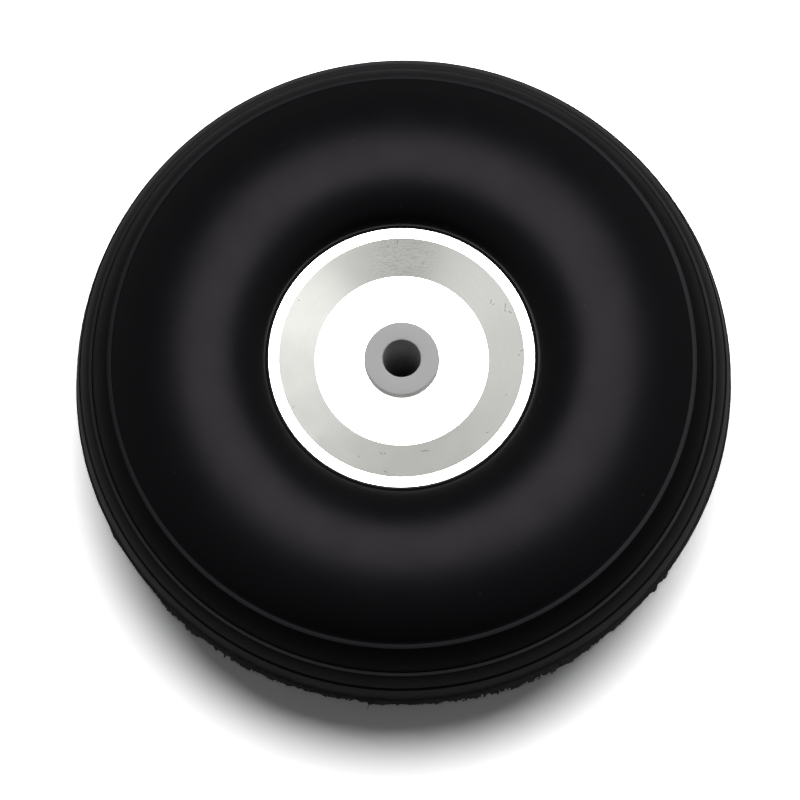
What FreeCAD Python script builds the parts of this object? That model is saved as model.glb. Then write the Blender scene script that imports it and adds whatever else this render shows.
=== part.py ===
# Model aircraft main wheel, in millimetres.
#
# A solid foamed-polyurethane tyre is clamped between the two halves of a turned aluminium hub.
# The outboard half has a register spigot and tapped holes, the inboard half has the matching
# recess and counterbored holes, and socket head screws pull the two together from inboard.
# A flanged plastic bush is pressed in from each side and the wheel turns on a plain axle.
#
# Frame: the origin is the wheel's centre, on the axle's axis. +Z runs along the axle to the
# outboard face, so the wheel lies on its inboard sidewall.
import FreeCAD, Part
import math
import os
import Sketcher

# alias, value, what it measures
SIZES = (
    ("tyre_diameter", "89", "tyre over the tread, without the mould line"),
    ("tyre_width", "31", "tyre across its two sidewall crests"),
    ("crest_diameter", "54", "circle where a sidewall stands highest"),
    ("sidewall_radius", "20.1", "section radius of the outer sidewall"),
    ("inner_wall_radius", "13.5", "section radius of the inner sidewall at its crest"),
    ("inner_wall_diameter", "40", "circle where the inner sidewall curls down to the lip"),
    ("lip_height", "10.6", "tyre's inner lip above the mid-plane"),
    ("lip_round", "0.3", "rounding of the inner lip"),
    ("ledge_diameter", "79", "outer edge of the ledge on the shoulder"),
    ("ledge_width", "0.6", "width of the shoulder's ledge"),
    ("step_diameter", "84.5", "outer edge of the step below the shoulder"),
    ("step_width", "0.4", "width of that step"),
    ("step_height", "6.75", "that step above the mid-plane"),
    ("groove_diameter", "87.4", "tread at the thin groove"),
    ("groove_height", "4.2", "thin groove above the mid-plane"),
    ("groove_width", "0.3", "width of the thin groove"),
    ("groove_depth", "0.35", "depth of the thin groove"),
    ("crown_radius", "14.5", "section radius of the tread bands"),
    ("mould_line_width", "0.5", "width of the ridge at the mould's parting line"),
    ("mould_line_rise", "0.15", "height of that ridge"),
    ("hub_width", "23.8", "hub over its two rim faces"),
    ("flange_diameter", "36", "hub flange"),
    ("flange_thickness", "2.4", "hub flange at its rim"),
    ("rim_chamfer", "0.4", "chamfer round the hub flange"),
    ("cone_diameter", "32.9", "outer end of the dish's cone"),
    ("dish_diameter", "23.3", "flat floor of the dish"),
    ("dish_depth", "2", "dish floor below the rim face"),
    ("barrel_diameter", "28", "hub barrel between the flanges"),
    ("barrel_fillet", "1", "fillet between barrel and flange"),
    ("register_diameter", "22", "spigot that centres the hub halves"),
    ("register_height", "1.5", "length of that spigot"),
    ("register_clearance", "0.05", "gap round the spigot and below it"),
    ("bore_diameter", "5.1", "axle bore"),
    ("bush_diameter", "7.6", "bush body, and its seat in the hub"),
    ("bush_flange_diameter", "10.1", "bush flange"),
    ("bush_flange_thickness", "1.2", "bush flange"),
    ("bush_edge_round", "0.25", "rounding of the bush flange"),
    ("bore_chamfer", "0.2", "chamfer at the mouth of the axle bore"),
    ("screw_count", "6", "hub screws"),
    ("screw_circle_diameter", "16.6", "circle through the hub screws"),
    ("screw_diameter", "2.5", "screw thread, nominal"),
    ("screw_length", "12", "screw below its head"),
    ("screw_head_diameter", "4.5", "screw head"),
    ("screw_head_height", "2.5", "screw head"),
    ("screw_chamfer", "0.3", "chamfer on the screw's head and tip"),
    ("socket_width", "2", "hexagon socket across its flats"),
    ("socket_depth", "1.3", "hexagon socket"),
    ("head_recess", "0.3", "screw head below the dish floor"),
    ("head_clearance", "0.15", "gap round the screw head"),
    ("shank_clearance", "0.15", "gap round the screw in the inboard half"),
    ("tapping_runout", "2", "tapped hole beyond the screw's tip"),
)

# Heights above the mid-plane and radii that more than one piece shares.
RIM_FACE = "Sizes.hub_width / 2"
DISH_FLOOR = "(Sizes.hub_width / 2 - Sizes.dish_depth)"
FLANGE_UNDERSIDE = "(Sizes.hub_width / 2 - Sizes.flange_thickness)"
FLANGE_EDGE = "Sizes.flange_diameter / 2"
BARREL = "Sizes.barrel_diameter / 2"
HEAD_SEAT = "(" + DISH_FLOOR + " - Sizes.head_recess - Sizes.screw_head_height)"
TWICE_ROUND = FreeCAD.Rotation(FreeCAD.Vector(1, 0, 0), 180)


def make_sheet(doc):
    """The driving dimensions, one row each: what it is, then its value under its alias."""
    sheet = doc.addObject("Spreadsheet::Sheet", "Sizes")
    for row, (alias, value, meaning) in enumerate(SIZES, start=1):
        sheet.set(f"A{row}", meaning)
        sheet.set(f"B{row}", value)
        sheet.setAlias(f"B{row}", alias)
    doc.recompute()
    return sheet


def new_body(doc, label):
    body = doc.addObject("PartDesign::Body", label)
    body.Label = label
    return body


def origin_feature(body, role):
    """One of the body's own origin planes or axes."""
    for feature in body.Origin.OriginFeatures:
        if feature.Role == role:
            return feature
    raise ValueError("no origin feature " + role)


def new_sketch(body, name, plane, offset=None):
    """A sketch on one of the body's origin planes, raised by an expression if given."""
    sketch = body.newObject("Sketcher::SketchObject", name)
    sketch.AttachmentSupport = [(origin_feature(body, plane), "")]
    sketch.MapMode = "FlatFace"
    if offset:
        sketch.setExpression("AttachmentOffset.Base.z", offset)
    return sketch


def middle_of_arc(start, end, radius):
    """The arc's middle point. A positive radius bulges to the right of the way from start to end."""
    half = (end - start) / 2
    outward = FreeCAD.Vector(half.y, -half.x, 0).normalize()
    sagitta = abs(radius) - math.sqrt(radius * radius - half.Length * half.Length)
    return start + half + outward * math.copysign(sagitta, radius)


def place_point(sketch, edge, end, point, across, up):
    """Dimension one end of an edge from the sketch's origin, or put it on the level axis."""
    here = sketch.addConstraint(Sketcher.Constraint("DistanceX", -1, 1, edge, end, point.x))
    sketch.setExpression(f"Constraints[{here}]", across)
    if up == "0":
        sketch.addConstraint(Sketcher.Constraint("PointOnObject", edge, end, -1))
        return
    here = sketch.addConstraint(Sketcher.Constraint("DistanceY", -1, 1, edge, end, point.y))
    sketch.setExpression(f"Constraints[{here}]", up)


def draw_outline(body, sketch, corners):
    """A closed outline. Each corner is (across, up), and a third entry is the radius of the arc
    that leaves it: plain for an arc that bulges to the right of the way round, else with a minus."""
    points = []
    for corner in corners:
        across = float(body.evalExpression(corner[0]))
        up = float(body.evalExpression(corner[1]))
        points.append(FreeCAD.Vector(across, up, 0))
    ends = []
    for index, corner in enumerate(corners):
        start = points[index]
        finish = points[(index + 1) % len(points)]
        if len(corner) == 2:
            edge = sketch.addGeometry(Part.LineSegment(start, finish))
            ends.append((edge, 1, 2))
            continue
        radius = float(body.evalExpression(corner[2]))
        edge = sketch.addGeometry(Part.Arc(start, middle_of_arc(start, finish, radius), finish))
        size = sketch.addConstraint(Sketcher.Constraint("Radius", edge, abs(radius)))
        sketch.setExpression(f"Constraints[{size}]", corner[2].lstrip("-"))
        forward = sketch.getPoint(edge, 1).distanceToPoint(start) < sketch.getPoint(edge, 2).distanceToPoint(start)
        ends.append((edge, 1, 2) if forward else (edge, 2, 1))
    for index, (edge, first, last) in enumerate(ends):
        next_edge, next_first, _ = ends[(index + 1) % len(ends)]
        sketch.addConstraint(Sketcher.Constraint("Coincident", edge, last, next_edge, next_first))
        place_point(sketch, edge, first, points[index], corners[index][0], corners[index][1])


def turn(body, name, corners):
    """Revolve an outline drawn in the XZ plane, as (radius, height), round the body's Z axis."""
    sketch = new_sketch(body, name + "Section", "XZ_Plane")
    draw_outline(body, sketch, corners)
    revolution = body.newObject("PartDesign::Revolution", name)
    revolution.Profile = sketch
    revolution.ReferenceAxis = (sketch, ["V_Axis"])
    revolution.Angle = 360
    body.Document.recompute()
    return sketch


def circle(sketch, diameter, offset=None):
    """A circle on the sketch's origin, or on its level axis at the given offset."""
    edge = sketch.addGeometry(Part.Circle(FreeCAD.Vector(1 if offset else 0, 0, 0), FreeCAD.Vector(0, 0, 1), 1))
    size = sketch.addConstraint(Sketcher.Constraint("Diameter", edge, 2))
    sketch.setExpression(f"Constraints[{size}]", diameter)
    if not offset:
        sketch.addConstraint(Sketcher.Constraint("Coincident", edge, 3, -1, 1))
        return
    sketch.addConstraint(Sketcher.Constraint("PointOnObject", edge, 3, -1))
    here = sketch.addConstraint(Sketcher.Constraint("DistanceX", -1, 1, edge, 3, 1))
    sketch.setExpression(f"Constraints[{here}]", offset)


def make_tyre(doc):
    """One moulding: lips that hug the hub's flanges, rounded sidewalls, and a tread in three
    bands that a ledge, a step and a thin groove divide, with the mould's line round its middle."""
    body = new_body(doc, "tyre")
    lip = "(" + FLANGE_EDGE + " + Sizes.lip_round)"
    half_width = "Sizes.tyre_width / 2"
    crest = "Sizes.crest_diameter / 2"
    inner = "Sizes.inner_wall_radius"
    curl = "Sizes.inner_wall_diameter / 2"
    drop = f"sqrt({inner} ^ 2 - ({crest} - {curl}) ^ 2)"
    curl_height = f"({half_width} - {inner} + {drop})"
    chord = f"(({curl} - {lip}) ^ 2 + ({curl_height} - Sizes.lip_height) ^ 2)"
    across = f"({curl_height} - Sizes.lip_height) * {drop} - ({curl} - {lip}) * ({crest} - {curl})"
    curl_radius = f"{inner} * {chord} / (2 * ({across}))"
    ledge = "Sizes.ledge_diameter / 2"
    foot = f"({ledge} - Sizes.ledge_width)"
    fall = f"Sizes.sidewall_radius - sqrt(Sizes.sidewall_radius ^ 2 - ({foot} - {crest}) ^ 2)"
    ledge_height = f"({half_width} - ({fall}))"
    step = "Sizes.step_diameter / 2"
    groove = "Sizes.groove_diameter / 2"
    half_groove = "Sizes.groove_width / 2"
    tread = "Sizes.tyre_diameter / 2"
    section = turn(body, "Moulding", (
        (BARREL, "0"),
        (tread + " + Sizes.mould_line_rise", "0"),
        (tread, "Sizes.mould_line_width / 2", "Sizes.crown_radius"),
        (groove, f"Sizes.groove_height - {half_groove}"),
        (groove + " - Sizes.groove_depth", "Sizes.groove_height"),
        (groove, f"Sizes.groove_height + {half_groove}", "Sizes.crown_radius"),
        (step, "Sizes.step_height"),
        (step + " - Sizes.step_width", "Sizes.step_height", "Sizes.crown_radius"),
        (ledge, ledge_height),
        (foot, ledge_height, "Sizes.sidewall_radius"),
        (crest, half_width, inner),
        (curl, curl_height, curl_radius),
        (lip, "Sizes.lip_height", "Sizes.lip_round"),
        (FLANGE_EDGE, "Sizes.lip_height - Sizes.lip_round"),
        (FLANGE_EDGE, FLANGE_UNDERSIDE),
        (BARREL + " + Sizes.barrel_fillet", FLANGE_UNDERSIDE, "Sizes.barrel_fillet"),
        (BARREL, FLANGE_UNDERSIDE + " - Sizes.barrel_fillet"),
    ))
    mirror = body.newObject("PartDesign::Mirrored", "InboardSide")
    mirror.TransformMode = "Whole shape"
    mirror.MirrorPlane = (section, ["H_Axis"])
    body.Tip = mirror
    return body


def turn_hub_half(body):
    """The turning that both hub halves start from, dish upwards, with its joint face at the
    mid-plane: bush seat, flat dish floor, cone, rim face, flange and barrel."""
    turn(body, "Turning", (
        ("Sizes.bush_diameter / 2", "0"),
        (BARREL, "0"),
        (BARREL, FLANGE_UNDERSIDE + " - Sizes.barrel_fillet", "-Sizes.barrel_fillet"),
        (BARREL + " + Sizes.barrel_fillet", FLANGE_UNDERSIDE),
        (FLANGE_EDGE, FLANGE_UNDERSIDE),
        (FLANGE_EDGE, RIM_FACE + " - Sizes.rim_chamfer"),
        (FLANGE_EDGE + " - Sizes.rim_chamfer", RIM_FACE),
        ("Sizes.cone_diameter / 2", RIM_FACE),
        ("Sizes.dish_diameter / 2", DISH_FLOOR),
        ("Sizes.bush_diameter / 2", DISH_FLOOR),
    ))


def repeat_round(body, feature):
    """Copy a feature round the body's Z axis, once for each hub screw."""
    pattern = body.newObject("PartDesign::PolarPattern", feature.Name + "Circle")
    pattern.Originals = [feature]
    pattern.Axis = (origin_feature(body, "Z_Axis"), [""])
    pattern.Angle = 360
    pattern.setExpression("Occurrences", "Sizes.screw_count")
    body.Tip = pattern
    body.Document.recompute()
    return pattern


def make_hub_outer(doc):
    """Outboard half: the turning, a spigot below its joint face, and blind tapped holes."""
    body = new_body(doc, "hub_outer")
    turn_hub_half(body)
    sketch = new_sketch(body, "SpigotRing", "XY_Plane")
    circle(sketch, "Sizes.register_diameter")
    circle(sketch, "Sizes.bush_diameter")
    spigot = body.newObject("PartDesign::Pad", "Spigot")
    spigot.Profile = sketch
    spigot.setExpression("Length", "Sizes.register_height")
    spigot.Reversed = True
    doc.recompute()
    sketch = new_sketch(body, "TappedHoleCentre", "XY_Plane", "-Sizes.register_height")
    circle(sketch, "Sizes.screw_diameter", "Sizes.screw_circle_diameter / 2")
    tapped = body.newObject("PartDesign::Hole", "TappedHole")
    tapped.Profile = sketch
    doc.recompute()
    tapped.Reversed = True
    tapped.setExpression("Diameter", "Sizes.screw_diameter")
    tapped.DepthType = "Dimension"
    depth = f"Sizes.register_height + Sizes.screw_length - {HEAD_SEAT} + Sizes.tapping_runout"
    tapped.setExpression("Depth", depth)
    tapped.DrillPoint = "Flat"
    repeat_round(body, tapped)
    return body


def make_hub_inner(doc):
    """Inboard half: the turning, the recess for the spigot, and counterbored clearance holes.
    It is drawn dish upwards and turned over into its place."""
    body = new_body(doc, "hub_inner")
    turn_hub_half(body)
    sketch = new_sketch(body, "RegisterCircle", "XY_Plane")
    circle(sketch, "Sizes.register_diameter + 2 * Sizes.register_clearance")
    recess = body.newObject("PartDesign::Pocket", "RegisterRecess")
    recess.Profile = sketch
    recess.setExpression("Length", "Sizes.register_height + Sizes.register_clearance")
    recess.Reversed = True
    doc.recompute()
    sketch = new_sketch(body, "ScrewHoleCentre", "XY_Plane", DISH_FLOOR)
    circle(sketch, "Sizes.screw_diameter + 2 * Sizes.shank_clearance", "Sizes.screw_circle_diameter / 2")
    hole = body.newObject("PartDesign::Hole", "ScrewHole")
    hole.Profile = sketch
    doc.recompute()
    hole.DepthType = "ThroughAll"
    hole.setExpression("Diameter", "Sizes.screw_diameter + 2 * Sizes.shank_clearance")
    hole.HoleCutType = "Counterbore"
    hole.HoleCutCustomValues = True
    hole.setExpression("HoleCutDiameter", "Sizes.screw_head_diameter + 2 * Sizes.head_clearance")
    hole.setExpression("HoleCutDepth", "Sizes.head_recess + Sizes.screw_head_height")
    repeat_round(body, hole)
    body.Placement = FreeCAD.Placement(FreeCAD.Vector(0, 0, 0), TWICE_ROUND)
    return body


def make_bush(doc, label, rotation):
    """A flanged bush, drawn flange upwards. Its body reaches from the dish floor to the mid-plane,
    where it meets the other bush."""
    body = new_body(doc, label)
    bore = "Sizes.bore_diameter / 2"
    flange = "Sizes.bush_flange_diameter / 2"
    top = "(" + DISH_FLOOR + " + Sizes.bush_flange_thickness)"
    turn(body, "Moulding", (
        (bore, "0"),
        ("Sizes.bush_diameter / 2", "0"),
        ("Sizes.bush_diameter / 2", DISH_FLOOR),
        (flange, DISH_FLOOR),
        (flange, top + " - Sizes.bush_edge_round", "Sizes.bush_edge_round"),
        (flange + " - Sizes.bush_edge_round", top),
        (bore + " + Sizes.bore_chamfer", top),
        (bore, top + " - Sizes.bore_chamfer"),
    ))
    body.Placement = FreeCAD.Placement(FreeCAD.Vector(0, 0, 0), rotation)
    return body


def make_screw(doc, number, angle):
    """A socket head cap screw, drawn with its head's seat at the origin and its head upwards,
    then turned over and set at its angle on the screw circle."""
    body = new_body(doc, f"hub_screw_{number}")
    turn(body, "Blank", (
        ("0", "-Sizes.screw_length"),
        ("Sizes.screw_diameter / 2 - Sizes.screw_chamfer", "-Sizes.screw_length"),
        ("Sizes.screw_diameter / 2", "-Sizes.screw_length + Sizes.screw_chamfer"),
        ("Sizes.screw_diameter / 2", "0"),
        ("Sizes.screw_head_diameter / 2", "0"),
        ("Sizes.screw_head_diameter / 2", "Sizes.screw_head_height - Sizes.screw_chamfer"),
        ("Sizes.screw_head_diameter / 2 - Sizes.screw_chamfer", "Sizes.screw_head_height"),
        ("0", "Sizes.screw_head_height"),
    ))
    socket = body.newObject("PartDesign::SubtractivePrism", "Socket")
    socket.Polygon = 6
    socket.setExpression("Circumradius", "Sizes.socket_width / sqrt(3)")
    socket.setExpression("Height", "Sizes.socket_depth")
    socket.AttachmentSupport = [(origin_feature(body, "XY_Plane"), "")]
    socket.MapMode = "FlatFace"
    socket.setExpression("AttachmentOffset.Base.z", "Sizes.screw_head_height - Sizes.socket_depth")
    body.Placement = FreeCAD.Placement(FreeCAD.Vector(0, 0, 0), TWICE_ROUND)
    body.setExpression("Placement.Base.x", f"Sizes.screw_circle_diameter / 2 * cos({angle} deg)")
    body.setExpression("Placement.Base.y", f"Sizes.screw_circle_diameter / 2 * sin({angle} deg)")
    body.setExpression("Placement.Base.z", "-" + HEAD_SEAT)
    return body


def check(doc, bodies):
    """Stop if any object failed to compute or any body isn't one sound solid."""
    for item in doc.Objects:
        if "Invalid" in item.State or "Error" in item.State:
            raise RuntimeError(f"{item.Label} did not compute: {item.State}")
    for body in bodies:
        shape = body.Shape
        if shape.isNull() or not shape.isValid() or len(shape.Solids) != 1:
            raise RuntimeError(f"{body.Label} is not one sound solid")


def main():
    doc = FreeCAD.newDocument("AircraftWheel")
    sheet = make_sheet(doc)
    bodies = [
        make_tyre(doc),
        make_hub_outer(doc),
        make_hub_inner(doc),
        make_bush(doc, "bush_outer", FreeCAD.Rotation()),
        make_bush(doc, "bush_inner", TWICE_ROUND),
    ]
    screws = int(sheet.screw_count)
    for number in range(screws):
        bodies.append(make_screw(doc, number + 1, number * 360 / screws))
    doc.recompute()
    check(doc, bodies)
    os.makedirs("parts", exist_ok=True)
    for body in bodies:
        body.Shape.exportStep(f"parts/{body.Label}.step")
        print(f"{body.Label}: {body.Shape.Volume:.1f} mm3")


main()
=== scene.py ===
"""Model aircraft main wheel, dressed round its packed construction.

A satin black foamed-polyurethane tyre on a dished, turned aluminium hub with a grey nylon bush.
Everything is in metres in the construction's own frame: the origin is the wheel's centre and +Z
runs along the axle to the outboard face.
"""

import bmesh
import bpy
import numpy as np
from mathutils import Matrix, Vector


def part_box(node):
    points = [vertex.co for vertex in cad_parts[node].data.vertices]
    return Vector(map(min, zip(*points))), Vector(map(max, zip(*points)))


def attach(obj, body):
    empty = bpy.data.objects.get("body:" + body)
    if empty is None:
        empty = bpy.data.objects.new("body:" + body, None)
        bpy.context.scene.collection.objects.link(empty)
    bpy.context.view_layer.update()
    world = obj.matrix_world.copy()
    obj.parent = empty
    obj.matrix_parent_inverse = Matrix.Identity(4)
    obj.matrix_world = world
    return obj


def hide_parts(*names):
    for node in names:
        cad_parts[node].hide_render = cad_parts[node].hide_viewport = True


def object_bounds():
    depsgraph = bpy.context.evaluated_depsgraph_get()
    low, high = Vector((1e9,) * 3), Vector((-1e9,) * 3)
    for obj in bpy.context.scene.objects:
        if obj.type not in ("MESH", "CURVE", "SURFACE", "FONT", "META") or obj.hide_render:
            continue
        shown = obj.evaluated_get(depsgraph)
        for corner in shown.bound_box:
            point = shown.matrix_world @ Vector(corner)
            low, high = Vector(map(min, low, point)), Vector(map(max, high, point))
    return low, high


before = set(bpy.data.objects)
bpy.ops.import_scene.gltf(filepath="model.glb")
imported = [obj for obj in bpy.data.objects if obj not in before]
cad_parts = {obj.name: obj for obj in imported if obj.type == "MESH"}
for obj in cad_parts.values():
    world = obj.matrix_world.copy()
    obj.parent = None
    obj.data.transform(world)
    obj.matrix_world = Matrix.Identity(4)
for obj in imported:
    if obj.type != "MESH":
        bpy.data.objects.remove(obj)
CAD_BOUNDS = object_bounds()

bl_info = {
    "name": "Model aircraft wheel",
    "version": (1, 0, 0),
    "blender": (4, 5, 0),
    "location": "View3D > Sidebar > Wheel",
    "description": "Builds the tyre, hub, bushes and screws of a model aircraft wheel",
    "category": "Add Mesh",
}

MM = 0.001
BODY = "root"
SEGMENTS = 432
SCREW_SEGMENTS = 72
FLASH_SEGMENTS = 7200
FILLET_STEPS = 4
FLOOR_HALF = 3.0
SCREWS = sorted(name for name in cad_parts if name.startswith("hub_screw"))

# Sizes read from the construction, in millimetres.
TYRE_HIGH = np.array(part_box("tyre")[1]) / MM
HUB_HIGH = np.array(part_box("hub_outer")[1]) / MM
HUB_LOW = np.array(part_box("hub_outer")[0]) / MM
BUSH_HIGH = np.array(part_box("bush_outer")[1]) / MM
SCREW_LOW = np.array(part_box(SCREWS[0])[0]) / MM
SCREW_HIGH = np.array(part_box(SCREWS[0])[1]) / MM

# Where the flash is left, as degrees round the wheel and millimetres above the tread.
FLASH = (
    (0, 0.2), (45, 0.35), (90, 0.25), (120, 0.3), (150, 0.2), (175, 0.05), (196, 0.3),
    (207, 0.3), (210, 0.45), (213, 0.3), (222, 0.35), (226, 0.7), (229, 0.55), (231, 0.85),
    (233, 0.55), (240, 0.8), (247, 0.7), (253, 0.6), (262, 0.55), (266, 0.7), (270, 0.55),
    (280, 0.75), (288, 0.85), (293, 0.95), (294, 0.8), (296, 0.95), (298, 0.75), (300, 0.85),
    (302, 0.65), (304, 0.78), (306, 0.55), (318, 0.4), (319, 0.65), (320, 0.37), (322, 0.62),
    (323, 0.35), (345, 0.3), (360, 0.2),
)

# How the room's brightness changes along X, Y and Z, with their squares, and with XZ, YX and ZY.
ROOM_PLANE = (0.0, 0.67, 0.14)
ROOM_SQUARES = (0.39, -0.23, -0.03)
ROOM_PRODUCTS = (0.14, 0.0, -0.9)

# Middle of the dark patch that a tripod makes in the room, with a brighter ring round it.
TRIPOD_SIDE = (0.09, -0.5, 0.86)

# Flash no higher than this, in millimetres, counts as trimmed clean.
TRIMMED = 0.25

# Hairline marks on the outboard dish: degrees round it, radius in millimetres, slant from the
# radius in degrees, length in millimetres.
MARKS = (
    (92, 16.0, 0, 0.5), (33, 14.3, 40, 0.6), (31, 14.4, 5, 0.3), (23, 15.8, -60, 0.5),
    (27, 15.6, 60, 0.7), (25, 15.3, 80, 0.4), (3, 16.1, 20, 0.4), (1, 15.7, 50, 0.3),
    (258, 13.2, 50, 0.4), (260, 13.1, 80, 0.3), (283, 12.9, 80, 0.7), (285, 13.0, 60, 0.5),
    (247, 14.6, 20, 0.3), (262, 15.8, 80, 0.4), (205, 15.9, 10, 0.3), (150, 15.9, 30, 0.2),
    (318, 15.4, 70, 0.4), (340, 14.9, 10, 0.2),
)


def length(name, description, millimetres):
    """A length property whose default is given in millimetres."""
    return bpy.props.FloatProperty(
        name=name, description=description, default=float(millimetres) * MM,
        precision=5, unit="LENGTH")


def shade(name, description, code):
    """A colour property whose default is an sRGB hex code."""
    return bpy.props.FloatVectorProperty(
        name=name, description=description, default=linear(code),
        size=4, min=0.0, max=1.0, subtype="COLOR")


def linear(code):
    """An sRGB hex code as linear red, green, blue and alpha."""
    parts = np.array([int(code[index:index + 2], 16) for index in (1, 3, 5)]) / 255
    low = parts / 12.92
    high = ((parts + 0.055) / 1.055) ** 2.4
    return (*np.where(parts <= 0.04045, low, high).tolist(), 1.0)


class TyreSettings(bpy.types.PropertyGroup):
    """Section of the tyre, and its colour."""
    tread_radius: length("Tread radius", "Axle to the tread's middle", TYRE_HIGH[0] - 0.15)
    half_width: length("Half width", "Mid-plane to the sidewall's crest", TYRE_HIGH[2])
    crest_radius: length("Crest radius", "Circle where the sidewall stands highest", 27)
    sidewall_radius: length("Sidewall curve", "Section radius of the outer sidewall", 20.1)
    inner_radius: length("Inner curve", "Section radius of the inner sidewall", 13.5)
    curl_radius: length("Curl radius", "Circle where the inner sidewall curls down", 20)
    lip_height: length("Lip height", "Mid-plane to the lip at the hub", 11.55)
    lip_round: length("Lip rounding", "Rounding of the lip at the hub", 0.1)
    ledge_radius: length("Ledge radius", "Outer edge of the shoulder's ledge", 39.5)
    ledge_width: length("Ledge width", "Width of the shoulder's ledge", 0.6)
    ledge_drop: length("Ledge drop", "Fall of the ledge over its width", 0.09)
    band_curve: length("Band curve", "Section radius between the ledge and the step", 14.5)
    step_radius: length("Step radius", "Outer edge of the tread's step", 42.35)
    step_height: length("Step height", "Mid-plane to the tread's step", 6.75)
    step_width: length("Step width", "Width of the tread's step", 0.4)
    step_drop: length("Step drop", "Fall of the step over its width", 0.05)
    groove_radius: length("Groove radius", "Tread at the thin groove", 43.9)
    groove_height: length("Groove height", "Mid-plane to the thin groove", 4.3)
    groove_width: length("Groove width", "Width of the thin groove", 0.4)
    groove_depth: length("Groove depth", "Depth of the thin groove", 0.5)
    groove_drop: length("Groove drop", "Outer band below the middle at the groove", 0.25)
    groove_undercut: length("Groove undercut", "Outer lip to the groove's bottom", 0.05)
    crown_radius: length("Crown curve", "Section radius of the tread's middle", 17)
    shoulder_curve: length("Shoulder curve", "Section radius of the tread's outer band", 8)
    colour: shade("Colour", "Skin of the foamed polyurethane", "#020203")


class FlashSettings(bpy.types.PropertyGroup):
    """Rubber flash left along the mould's parting line."""
    root: length("Root", "Width of the flash where it leaves the tread", 0.5)
    sunk: length("Sunk root", "Tread's surface to the foot of the root", 0.15)
    tip: length("Tip", "Thickness of the torn edge", 0.12)
    crumb: length("Crumb", "Size of the larger crumbs", 0.2)
    crumbs: bpy.props.IntProperty(
        name="Crumbs", description="Loose crumbs along the edge", default=200, min=0)
    hair: length("Hair", "Thickest radius of the loose hair", 0.07)
    hair_place: bpy.props.FloatProperty(
        name="Hair's place", description="Angle round the wheel of the loose hair",
        default=np.radians(264.6), unit="ROTATION")
    colour: shade("Colour", "Torn edge of the foamed polyurethane", "#2a2827")


class HubSettings(bpy.types.PropertyGroup):
    """The turned hub's dish and edges, and its colour."""
    flange_radius: length("Flange radius", "Hub flange", HUB_HIGH[0])
    rim_face: length("Rim face", "Mid-plane to the rim face", HUB_HIGH[2])
    flange_thickness: length("Flange thickness", "Flange at its rim", 2.4)
    rim_chamfer: length("Rim chamfer", "Chamfer round the flange", 0.2)
    cone_radius: length("Cone radius", "Outer end of the dish's cone", 16.45)
    dish_radius: length("Dish radius", "Flat floor of the dish", 11.65)
    dish_depth: length("Dish depth", "Dish floor below the rim face", 2)
    barrel_radius: length("Barrel radius", "Barrel between the flanges", 14)
    barrel_fillet: length("Barrel fillet", "Fillet between barrel and flange", 1)
    register_radius: length("Register radius", "Spigot that centres the halves", 11)
    register_height: length("Register height", "Length of the spigot", -HUB_LOW[2])
    register_clearance: length("Register clearance", "Gap round the spigot", 0.05)
    screw_circle: length(
        "Screw circle", "Radius of the screws' circle", (SCREW_LOW[0] + SCREW_HIGH[0]) / 2)
    counterbore_radius: length("Counterbore radius", "Seat of a screw's head", 2.4)
    counterbore_depth: length("Counterbore depth", "Dish floor to the head's seat", 2.8)
    clearance_radius: length("Clearance hole", "Hole for a screw in the inboard half", 1.4)
    tapped_radius: length("Tapped hole", "Hole for a screw in the outboard half", 1.25)
    tapped_end: length("Tapped hole's end", "Mid-plane to the hole's end", 6.9)
    colour: shade("Colour", "Bright turned aluminium", "#fbfcf6")


class BushSettings(bpy.types.PropertyGroup):
    """The flanged bushes and their colour."""
    bore_radius: length("Bore radius", "Axle bore", 2.55)
    body_radius: length("Body radius", "Bush body in the hub", 3.8)
    flange_radius: length("Flange radius", "Bush flange", BUSH_HIGH[0])
    flange_thickness: length("Flange thickness", "Bush flange", 1.2)
    top: length("Top", "Mid-plane to the flange's face", BUSH_HIGH[2])
    edge: length("Edge", "Rounding of the flange", 0.25)
    mouth: length("Mouth", "Rounding at the bore's mouth", 0.2)
    colour: shade("Colour", "Moulded grey nylon", "#adadae")


class ScrewSettings(bpy.types.PropertyGroup):
    """The socket head screws and their colour."""
    head_radius: length("Head radius", "Screw head", (SCREW_HIGH[0] - SCREW_LOW[0]) / 2)
    head_height: length("Head height", "Screw head", 2.5)
    shank_radius: length("Shank radius", "Screw thread, nominal", 1.25)
    shank_length: length(
        "Shank length", "Screw below its head", SCREW_HIGH[2] - SCREW_LOW[2] - 2.5)
    chamfer: length("Chamfer", "Chamfer on head and tip", 0.3)
    socket_width: length("Socket width", "Hexagon across its flats", 2)
    socket_depth: length("Socket depth", "Hexagon socket", 1.3)
    colour: shade("Colour", "Plain stainless steel", "#b4b4b6")


class StageSettings(bpy.types.PropertyGroup):
    """Camera, lamps and floor."""
    distance: length("Camera distance", "Camera to the wheel", 589)
    lens: bpy.props.FloatProperty(
        name="Lens", description="Focal length", default=197.9, unit="CAMERA")
    tilt: bpy.props.FloatProperty(
        name="Tilt", description="Camera off the axle's axis", default=np.radians(13.1),
        unit="ROTATION")
    swing: bpy.props.FloatProperty(
        name="Swing", description="Camera round the axle's axis", default=np.radians(4.0),
        unit="ROTATION")
    shine: bpy.props.FloatProperty(
        name="Shine", description="Brightness of the softbox that the surfaces reflect",
        default=7.1, min=0.0)
    key: bpy.props.FloatProperty(
        name="Key", description="Brightness of the softbox that lights colours",
        default=5.2, min=0.0)
    room: bpy.props.FloatProperty(
        name="Room", description="Brightness of the room's pale walls", default=0.4, min=0.0)
    offset_right: length("Offset right", "Wheel right of the view's middle", 0.22)
    offset_up: length("Offset up", "Wheel above the view's middle", 5.59)
    paper: shade("Paper", "The white sheet as it lights the wheel", "#808080")


# ---------------------------------------------------------------- shapes

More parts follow.
